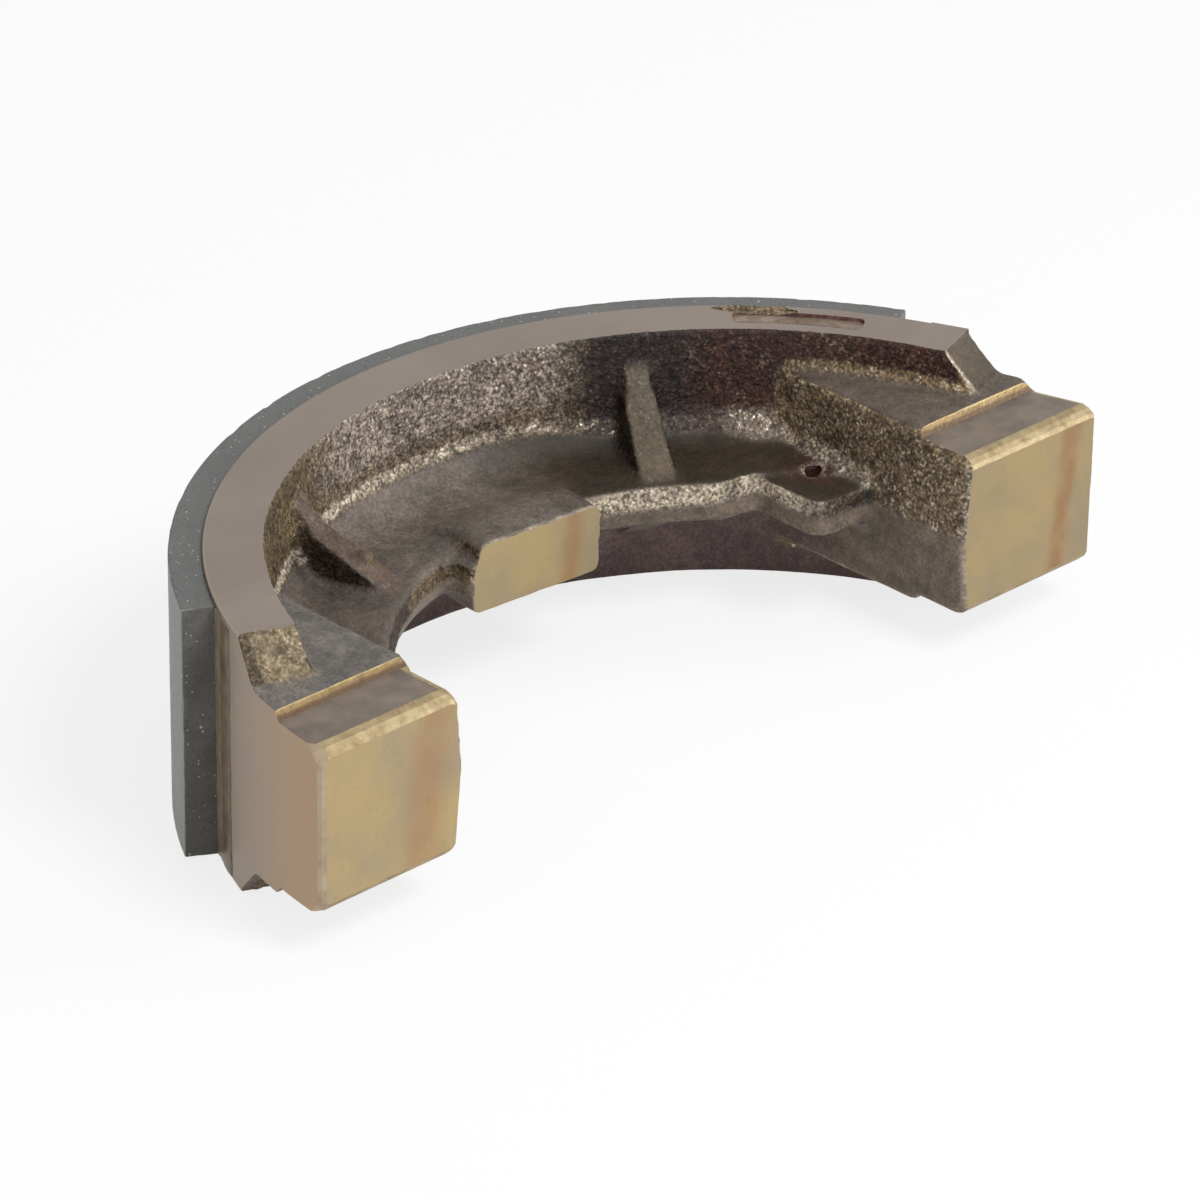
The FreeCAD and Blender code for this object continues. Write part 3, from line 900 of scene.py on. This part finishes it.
def step_iron():
    """Step up to the cast surface, with painted shade at its foot and a painted highlight along its
    upper edge.
    """
    g = Graph("step_iron")
    cloud = g.noise(260, 4, 0.65)
    colour = g.mix(g.level(cloud, 0.35, 0.65), (0.130, 0.082, 0.028), (0.190, 0.130, 0.050))
    rise = g.math("ABSOLUTE", g.math("SUBTRACT", g.axis("Z"), MIDDLE * MM))
    rise = g.math("SUBTRACT", rise, g.times(g.noise(300, 3, 0.6), 0.7 * MM))
    # Painted shade along the step's foot, then a painted highlight along its upper edge
    colour = g.mix(g.level(rise, 20.8 * MM, 20.0 * MM, 0, 0.95), colour, (0.060, 0.030, 0.010))
    colour = g.mix(g.level(rise, 21.0 * MM, 21.4 * MM, 0, 0.8), colour, (0.32, 0.24, 0.115))
    return g.finish(Base_Color=colour, Roughness=0.42, Metallic=0.55,
                    Normal=g.bump(g.noise(1000, 3, 0.6), 0.15, 0.6))


def pocket_iron():
    """The pocket's floor, with painted shade along its inner side."""
    g = Graph("pocket_iron")
    cloud = g.noise(300, 4, 0.6)
    colour = g.mix(g.level(cloud, 0.38, 0.66), (0.185, 0.125, 0.09), (0.27, 0.215, 0.155))
    inner = g.math("SUBTRACT", g.radius(), g.times(g.noise(400, 3, 0.6), 1.2 * MM))
    # Painted shade on the floor beside the pocket's inner wall
    wall_shade = g.level(inner, 109.6 * MM, 109.0 * MM, 0, 0.9)
    colour = g.mix(wall_shade, colour, (0.085, 0.035, 0.028))
    return g.finish(Base_Color=colour, Roughness=0.42, Metallic=0.6,
                    Normal=g.bump(g.noise(1300, 3, 0.6), 0.3, 0.8))


def wall_iron():
    """Walls of the pocket and of the spring's hole."""
    g = Graph("wall_iron")
    cloud = g.noise(500, 4, 0.6)
    colour = g.mix(g.level(cloud, 0.38, 0.66), (0.060, 0.018, 0.018), (0.14, 0.075, 0.06))
    return g.finish(Base_Color=colour, Roughness=0.4, Metallic=0.5,
                    Normal=g.bump(g.noise(1300, 3, 0.6), 0.3, 0.8))


def broken_edge_iron():
    g = Graph("broken_edge_iron")
    cloud = g.noise(200, 4, 0.6)
    colour = g.mix(g.level(cloud, 0.35, 0.65), (0.36, 0.27, 0.18), (0.46, 0.37, 0.25))
    return g.finish(Base_Color=colour, Roughness=0.45, Metallic=0.6,
                    Normal=g.bump(g.noise(900, 3, 0.6), 0.1, 0.6))


def casting_finishes():
    """The casting's materials, in the order of the numbers from CAST to BREAK."""
    return [cast_skin(), turned_iron(), faced_iron(), milled_iron(), land_iron(),
            chamfer_iron(), step_iron(), pocket_iron(), wall_iron(), broken_edge_iron()]


def friction_material(name, dark, light):
    """Matrix with short dark fibres, and pale grains in two sizes."""
    g = Graph(name)
    cloud = g.noise(90, 5, 0.6)
    colour = g.mix(g.level(cloud, 0.3, 0.7), dark, light)
    fibre = g.level(g.noise(1500, 3, 0.6), 0.55, 0.66, 0, 0.55)
    colour = g.mix(fibre, colour, tuple(c * 0.45 for c in dark))
    for scale, rarity, size in ((360.0, 0.93, 0.17), (1000.0, 0.88, 0.24)):
        cells = g.node("ShaderNodeTexVoronoi", Vector=g.bent(2200, 0.7), Scale=scale)
        pick = g.node("ShaderNodeSeparateColor", Color=cells.outputs["Color"])
        chosen = g.level(pick.outputs[0], rarity, rarity + 0.01)
        spot = g.level(cells.outputs["Distance"], size, size * 0.6)
        colour = g.mix(g.times(chosen, spot), colour, (0.52, 0.52, 0.50))
    height = g.math("ADD", g.noise(900, 4, 0.65), g.times(fibre, -0.6))
    return g.finish(Base_Color=colour, Roughness=g.level(cloud, 0.3, 0.7, 0.5, 0.7),
                    Normal=g.bump(height, 0.14, 0.6))


def adhesive_film(name, angle):
    """Taupe smear beside the lining, then a brown bead."""
    g = Graph(name)
    tone = g.level(g.noise(260, 4, 0.6), 0.35, 0.65)
    from_lining = g.node("ShaderNodeVectorMath", g.stretched((1, 1, 0)), polar(RIM_R * MM, angle),
                         operation="DISTANCE").outputs["Value"]
    run = g.math("SUBTRACT", from_lining, g.times(g.noise(180, 3, 0.6), 1.6 * MM))
    bead = g.level(run, ADHESIVE_WIDTH * MM * BEAD_START, ADHESIVE_WIDTH * MM * BEAD_FULL)
    smear = g.mix(tone, (0.24, 0.175, 0.12), (0.33, 0.26, 0.19))
    brown = g.mix(tone, (0.13, 0.085, 0.038), (0.20, 0.145, 0.08))
    return g.finish(Base_Color=g.mix(bead, smear, brown), Roughness=0.42,
                    Normal=g.bump(g.noise(900, 3, 0.6), 0.1, 0.5))


# Lining and adhesive

def grid_line(length, step):
    """Places along one side of a block, close together near its two ends."""
    ends = [t - length / 2 for t in (0, 0.12, 0.28, 0.5, 0.8, 1.3)]
    start = ends[-1]
    count = max(1, round(-2 * start / step))
    inner = [start + (-2 * start) * k / count for k in range(1, count)]
    return ends + inner + [-t for t in reversed(ends)]


def rounded_block(lengths, steps, radius_at, place):
    """Closed block with rounded edges, as grids of squares on its six sides."""
    lines = [grid_line(length, step) for length, step in zip(lengths, steps)]
    halves = [length / 2 for length in lengths]
    bm = bmesh.new()
    known = {}

    def corner(i, j, k):
        key = (i, j, k)
        if key not in known:
            raw = Vector((lines[0][i], lines[1][j], lines[2][k]))
            radius = radius_at(raw)
            inner = Vector([max(-h + radius, min(h - radius, c)) for c, h in zip(raw, halves)])
            away = raw - inner
            if away.length > radius:
                away = away.normalized() * radius
            known[key] = bm.verts.new(place(inner + away))
        return known[key]

    counts = [len(line) - 1 for line in lines]
    for axis in range(3):
        one, two = (axis + 1) % 3, (axis + 2) % 3
        for fixed in (0, counts[axis]):
            for a in range(counts[one]):
                for b in range(counts[two]):
                    quad = []
                    for da, db in ((0, 0), (1, 0), (1, 1), (0, 1)):
                        index = [0, 0, 0]
                        index[axis], index[one], index[two] = fixed, a + da, b + db
                        quad.append(corner(*index))
                    bm.faces.new(quad if fixed else list(reversed(quad)))
    bmesh.ops.recalc_face_normals(bm, faces=bm.faces)
    return bm


def lining_pad():
    """Block bent round the rim, chipped along its outer edges and worn a little outside."""
    middle_r = (DRUM_R + RIM_R) / 2
    arc = math.radians(LINING_LEFT - LINING_RIGHT) * middle_r
    turn = (LINING_LEFT + LINING_RIGHT) / 2
    outer_round, chip_round, inner_round = 0.35, 0.9, 0.12
    wear = 0.04

    def radius_at(p):
        chip = max(0.0, noise.noise(Vector((p.x / 3, p.y / 3, p.z / 3)))) * chip_round
        return (outer_round + chip) if p.y > 0 else inner_round

    def place(p):
        worn = -wear * (1 + noise.noise(Vector((p.x / 6, 5, p.z / 2)))) if p.y > 3 else 0
        return polar(middle_r + p.y + worn, turn + math.degrees(p.x / middle_r),
                     p.z + (LINING_HIGH + LINING_LOW) / 2)

    bm = rounded_block((arc, DRUM_R - RIM_R, LINING_HIGH - LINING_LOW), (1.2, 1.5, 2.0),
                       radius_at, place)
    pad = new_object("lining_pad", mesh_of("lining_pad", bm))
    for name, dark, light in (("lining_ground", (0.250, 0.252, 0.242), (0.345, 0.347, 0.335)),
                              ("lining_cut", (0.084, 0.079, 0.070), (0.142, 0.137, 0.124)),
                              ("lining_edge", (0.085, 0.086, 0.083), (0.128, 0.129, 0.124))):
        pad.data.materials.append(friction_material(name, dark, light))
    ground, cut, edge = range(3)
    kinds = []
    for face in pad.data.polygons:
        around_axis = Vector((-face.center.y, face.center.x, 0)).normalized()
        end = abs(face.normal.dot(around_axis)) > 0.8
        kinds.append(cut if end else edge if abs(face.normal.z) > 0.7 else ground)
    pad.data.polygons.foreach_set("material_index", kinds)
    pad.data.shade_smooth()
    return pad


def adhesive_line(name, angle, turn):
    """Thin film of adhesive pressed out beside an end of the lining."""
    steps, inset, sunk = 60, 0.3, 0.05
    bm = bmesh.new()
    rows = []
    for k in range(steps + 1):
        z = LINING_LOW + inset + (LINING_HIGH - LINING_LOW - 2 * inset) * k / steps
        width = (ADHESIVE_WIDTH + 0.6 * noise.noise(Vector((turn, 3, z / 7)))
                 + 0.3 * noise.noise(Vector((5, turn, z / 1.8))))
        row = []
        for part, height in ADHESIVE_SECTION:
            tall = height * (1 + 0.35 * noise.noise(Vector((part * 3, turn, z / 3))))
            along = math.degrees(width * part / RIM_R)
            row.append(bm.verts.new(polar(RIM_R - sunk + tall, angle + turn * along, z)))
        rows.append(row)
    for one, two in zip(rows, rows[1:]):
        join_rings(bm, one, two)
    bm.faces.new(rows[0])
    bm.faces.new(list(reversed(rows[-1])))
    bmesh.ops.recalc_face_normals(bm, faces=bm.faces)
    line = new_object(name, mesh_of(name, bm))
    line.data.materials.append(adhesive_film(name, angle))
    line.data.shade_smooth()
    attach(line, "root")


# Camera, floor and light

def camera():
    az, el, roll = map(math.radians, (AZIMUTH, ELEVATION, ROLL))
    right = Vector((math.cos(az), math.sin(az), 0))
    ahead = Vector((-math.sin(az) * math.cos(el), math.cos(az) * math.cos(el), -math.sin(el)))
    up = right.cross(ahead)
    x = right * math.cos(roll) + up * math.sin(roll)
    y = -right * math.sin(roll) + up * math.cos(roll)
    centre = PHOTO_WIDTH / 2
    aside = (ORIGIN_PIXEL_X - centre) / FOCAL_PIXELS * ORIGIN_DEPTH
    below = (ORIGIN_PIXEL_Y - centre) / FOCAL_PIXELS * ORIGIN_DEPTH
    place = y * below - x * aside - ahead * ORIGIN_DEPTH
    data = bpy.data.cameras.new("camera")
    data.sensor_width = SENSOR_WIDTH
    data.lens = FOCAL_PIXELS / PHOTO_WIDTH * SENSOR_WIDTH
    data.clip_end = 20
    cam = new_object("camera", data)
    cam.matrix_world = Matrix(((x[0], y[0], -ahead[0], place[0]),
                               (x[1], y[1], -ahead[1], place[1]),
                               (x[2], y[2], -ahead[2], place[2]),
                               (0, 0, 0, 1)))
    bpy.context.scene.camera = cam


def area(name, place, size, power):
    data = bpy.data.lights.new(name, "AREA")
    data.shape = "DISK"
    data.size = size
    data.energy = power
    lamp = new_object(name, data)
    lamp.location = place
    lamp.rotation_euler = (LAMPS_AIM - Vector(place)).to_track_quat("-Z", "Y").to_euler()


def seen_directly(tree):
    """1 for rays from the camera, and for those that gloss or glass sends on."""
    path = tree.nodes.new("ShaderNodeLightPath")
    total = path.outputs["Is Camera Ray"]
    for other in ("Is Glossy Ray", "Is Transmission Ray"):
        most = tree.nodes.new("ShaderNodeMath")
        most.operation = "MAXIMUM"
        tree.links.new(total, most.inputs[0])
        tree.links.new(path.outputs[other], most.inputs[1])
        total = most.outputs[0]
    return total


def white_floor():
    """Floor that the camera sees mostly by a glow of its own, so that it looks white."""
    bpy.ops.mesh.primitive_plane_add(size=FLOOR_SIZE)
    floor = bpy.context.object
    floor.name = "floor"
    g = Graph("floor")
    g.finish(Base_Color=(FLOOR_WHITE, FLOOR_WHITE, FLOOR_WHITE), Roughness=0.9)
    glow = g.node("ShaderNodeEmission", Color=(1, 1, 1, 1), Strength=1.0)
    share = g.times(seen_directly(g.tree), FLOOR_GLOW)
    mixed = g.node("ShaderNodeMixShader", share, g.bsdf.outputs[0], glow.outputs[0])
    g.tree.links.new(mixed.outputs[0], g.tree.nodes["Material Output"].inputs["Surface"])
    floor.data.materials.append(g.mat)


def white_sky():
    """Sky that lights the object weakly and looks white."""
    world = bpy.data.worlds.new("world")
    bpy.context.scene.world = world
    world.use_nodes = True
    tree = world.node_tree
    back = tree.nodes["Background"]
    back.inputs["Color"].default_value = (1, 1, 1, 1)
    strength = tree.nodes.new("ShaderNodeMapRange")
    tree.links.new(seen_directly(tree), strength.inputs[0])
    strength.inputs[3].default_value = SKY_LIGHT
    strength.inputs[4].default_value = SKY_SEEN
    tree.links.new(strength.outputs[0], back.inputs["Strength"])


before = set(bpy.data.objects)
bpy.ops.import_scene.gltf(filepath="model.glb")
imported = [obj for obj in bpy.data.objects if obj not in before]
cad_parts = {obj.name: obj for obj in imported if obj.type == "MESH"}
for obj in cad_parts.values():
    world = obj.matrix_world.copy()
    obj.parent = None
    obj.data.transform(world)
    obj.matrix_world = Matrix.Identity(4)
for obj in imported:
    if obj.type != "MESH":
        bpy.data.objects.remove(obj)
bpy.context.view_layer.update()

blank = rough_blank(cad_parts["shoe_casting"])
skin = roughen(blank)
casting = machined(blank, casting_finishes())
casting.name = "iron_casting"
shade(casting.data, skin)
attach(casting, "root")
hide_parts("shoe_casting")

lining = lining_pad()
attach(lining, "root")
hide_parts("friction_lining")
adhesive_line("adhesive_left", LINING_LEFT, 1)
adhesive_line("adhesive_right", LINING_RIGHT, -1)

white_floor()
white_sky()
camera()
area("key", place=(0.05, -0.80, 1.20), size=0.6, power=14)
area("side", place=(2.10, -1.53, 0.69), size=0.9, power=38)
bpy.context.scene.view_settings.view_transform = "Standard"
